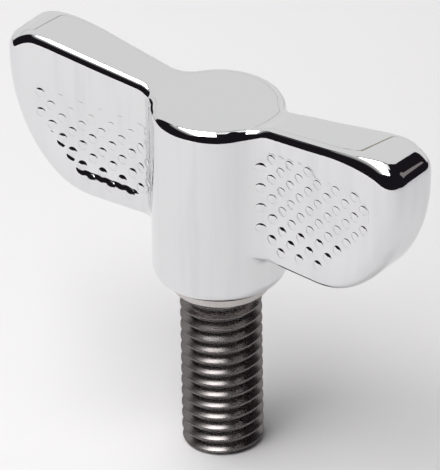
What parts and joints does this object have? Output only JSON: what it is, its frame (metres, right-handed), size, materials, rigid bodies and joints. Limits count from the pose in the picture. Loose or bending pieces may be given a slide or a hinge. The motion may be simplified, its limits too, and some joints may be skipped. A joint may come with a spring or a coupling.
{
  "type": "thumb screw",
  "caption": "Wing-headed thumb screw: a polished cast head with textured finger wings on a right-handed metric threaded steel stud.",
  "frame": {"origin": "centre of the flat end of the threaded stud, where the screw stands", "axes": "+Z along the thread from the stud's end to the head, +X along the wings, Y through their thickness"},
  "size_m": [0.0466, 0.013, 0.0395],
  "materials": {
    "wing_head": "polished chrome plate",
    "threaded_stud": "bare rolled thread"
  },
  "bodies": {
    "root": {"wing_head": "wing_head", "threaded_stud": "threaded_stud"}
  },
  "joints": []
}
